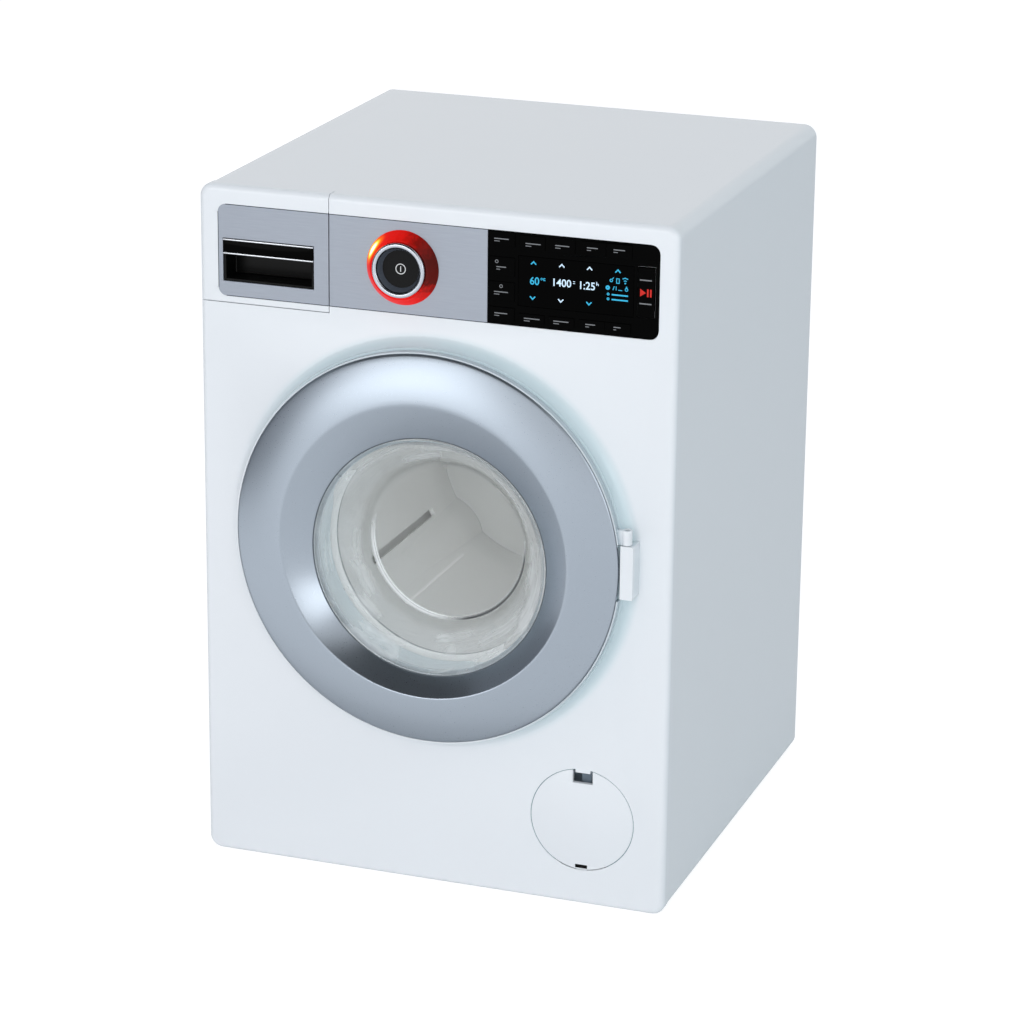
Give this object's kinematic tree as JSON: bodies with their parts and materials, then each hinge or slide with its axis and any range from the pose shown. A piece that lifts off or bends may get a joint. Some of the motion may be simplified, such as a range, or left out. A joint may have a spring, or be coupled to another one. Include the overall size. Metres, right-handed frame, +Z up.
{
  "type": "toy washing machine",
  "caption": "Toy front-loading washing machine with a round hinged door and clear bowl, turning drum, pull-out drawer, lit selector dial, dark display with keys and a round filter flap.",
  "frame": {"origin": "centre of the whole object's box, on the ground", "axes": "+Z up, -Y out of the front face, +X to the viewer's right when facing the front"},
  "size_m": [0.182, 0.1918, 0.26],
  "materials": {
    "white_body": "smooth satin gloss",
    "white_inner": "smooth",
    "silver_plate": "fine metallic paint",
    "silver_ring": "semi-gloss metallic paint",
    "black_gloss": "high gloss",
    "screen_gloss": "high gloss",
    "black_plastic": "satin",
    "chrome_ring": "polished",
    "red_light": "translucent, lit",
    "drum_plastic": "silver satin",
    "clear_bowl": "clear",
    "cap_grey": "satin",
    "seal": "matt",
    "steel": "plain",
    "brass": "plain",
    "gear_plastic": "smooth",
    "board_green": "smooth",
    "cell_sleeve": "smooth"
  },
  "bodies": {
    "housing": {"front_panel": "white_body", "shell": "white_body", "rear_cover": "white_body", "battery_cover": "white_body", "battery_cells": "cell_sleeve", "battery_contacts": "steel", "battery_screw": "steel", "cover_screws": "steel", "speaker": "black_plastic", "tub": "white_inner", "neck_gasket": "seal", "tub_screws": "steel", "shaft_bushing": "brass", "gear_axle": "steel", "gear_base": "white_inner", "gear_cover": "white_inner", "gear_screws": "steel", "motor": "steel", "drawer_sleeve": "white_inner", "sleeve_screws": "steel", "fascia_plate": "silver_plate", "display_panel": "black_gloss", "display_window": "screen_gloss", "light_ring": "red_light", "circuit_board": "board_green", "board_screws": "steel", "dial_switch": "black_plastic", "key_switches": "steel", "indicator_leds": "red_light", "hinge_pin": "steel", "filter_cap": "cap_grey"},
    "door": {"door_ring": "silver_ring", "door_frame": "white_body", "door_window": "clear_bowl"},
    "drum": {"drum": "drum_plastic", "drum_shaft": "steel", "drum_gear": "gear_plastic"},
    "compound_gear": {"compound_gear": "gear_plastic"},
    "motor_rotor": {"motor_pinion": "brass"},
    "drawer": {"detergent_drawer": "white_body", "drawer_plate": "silver_plate", "drawer_handle": "black_plastic", "handle_bar": "black_gloss"},
    "dial": {"dial_ring": "chrome_ring"},
    "power_button": {"power_button": "black_gloss"},
    "start_key": {"start_key": "black_gloss"},
    "flap": {"filter_flap": "white_body"}
  },
  "joints": [
    {"name": "door_hinge", "type": "hinge", "parent": "housing", "child": "door", "pos_m": [0.076, -0.0901, 0.1343], "axis": [0, 0, 1], "range_deg": [0, 92]},
    {"name": "drum_spin", "type": "hinge", "parent": "housing", "child": "drum", "pos_m": [0, -0.0241, 0.1294], "axis": [0, 1, 0], "continuous": true},
    {"name": "compound_spin", "type": "hinge", "parent": "housing", "child": "compound_gear", "pos_m": [0.02382, 0.0609, 0.10101], "axis": [0, 1, 0], "continuous": true},
    {"name": "motor_spin", "type": "hinge", "parent": "housing", "child": "motor_rotor", "pos_m": [0.03929, 0.0609, 0.08258], "axis": [0, 1, 0], "continuous": true},
    {"name": "drawer_slide", "type": "slide", "parent": "housing", "child": "drawer", "axis": [0, -1, 0], "range_m": [0, 0.055]},
    {"name": "dial_turn", "type": "hinge", "parent": "housing", "child": "dial", "pos_m": [-0.0119, -0.0841, 0.23595], "axis": [0, 1, 0], "continuous": true},
    {"name": "power_press", "type": "slide", "parent": "housing", "child": "power_button", "axis": [0, 1, 0], "range_m": [0, 0.001], "stiffness_N_per_m": 300, "springref_m": -0.001},
    {"name": "start_press", "type": "slide", "parent": "housing", "child": "start_key", "axis": [0, 1, 0], "range_m": [0, 0.0008], "stiffness_N_per_m": 300, "springref_m": -0.001},
    {"name": "flap_hinge", "type": "hinge", "parent": "housing", "child": "flap", "pos_m": [0.0589, -0.08345, 0.01465], "axis": [1, 0, 0], "range_deg": [0, 85]}
  ],
  "couplings": [
    {"joint": "compound_spin", "follows": "drum_spin", "ratio": -4.2857},
    {"joint": "motor_spin", "follows": "drum_spin", "ratio": 21.429}
  ]
}
